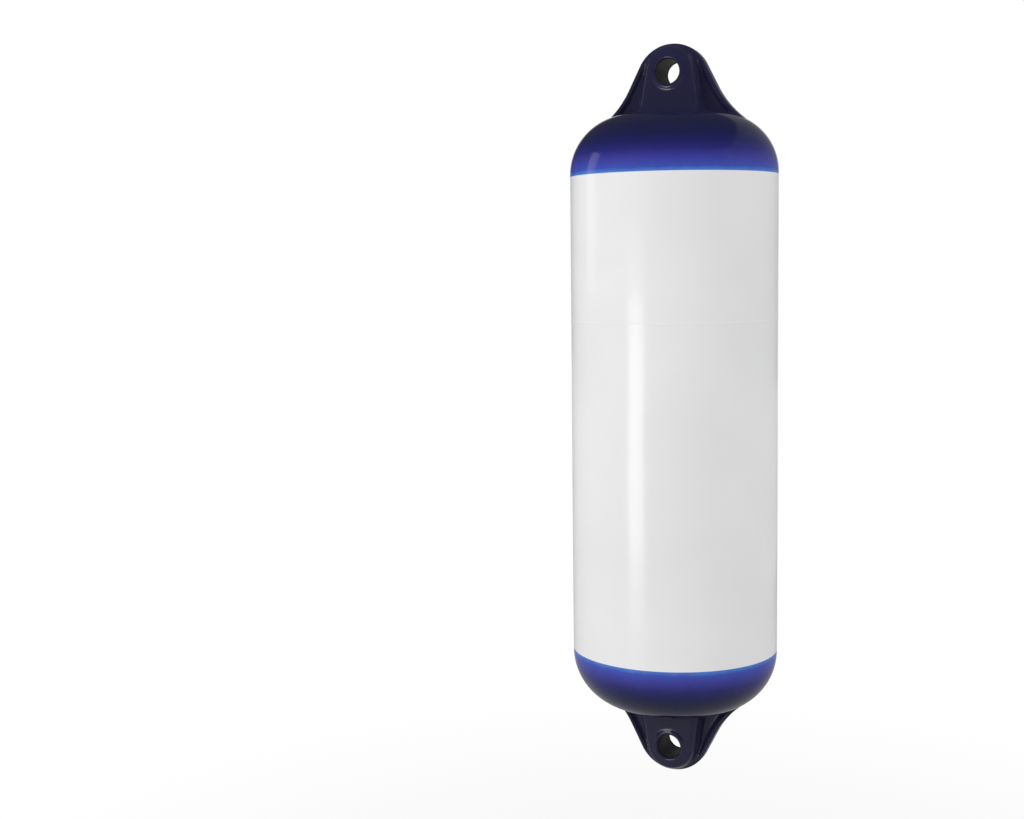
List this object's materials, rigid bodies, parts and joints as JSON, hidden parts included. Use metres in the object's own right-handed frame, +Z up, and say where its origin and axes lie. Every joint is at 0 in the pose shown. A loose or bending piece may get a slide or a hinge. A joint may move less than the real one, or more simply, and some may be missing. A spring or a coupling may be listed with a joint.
{
  "type": "pneumatic fender",
  "caption": "Inflatable boat fender: a hollow PVC cylinder with rounded ends, a lug with a rope eye at each end and a screw valve on one shoulder.",
  "frame": {"origin": "middle of the top eye's bore, where the rope holds the hanging fender", "axes": "+Z up along the fender's length, +Y along the eyes' bores towards the side with the valve, +X across the lugs"},
  "size_m": [0.1804, 0.1804, 0.64],
  "materials": {
    "fender_vinyl": "glossy soft PVC, white on the barrel, with a glossy navy coat on both ends and lugs that is bright blue at its edge",
    "valve_plastic": "rigid black plastic, satin",
    "seal_rubber": "matt black rubber",
    "screw_plastic": "white plastic, satin gloss"
  },
  "bodies": {
    "root": {"fender_body": "fender_vinyl", "valve_socket": "valve_plastic", "valve_seal": "seal_rubber", "valve_screw": "screw_plastic"}
  },
  "joints": []
}
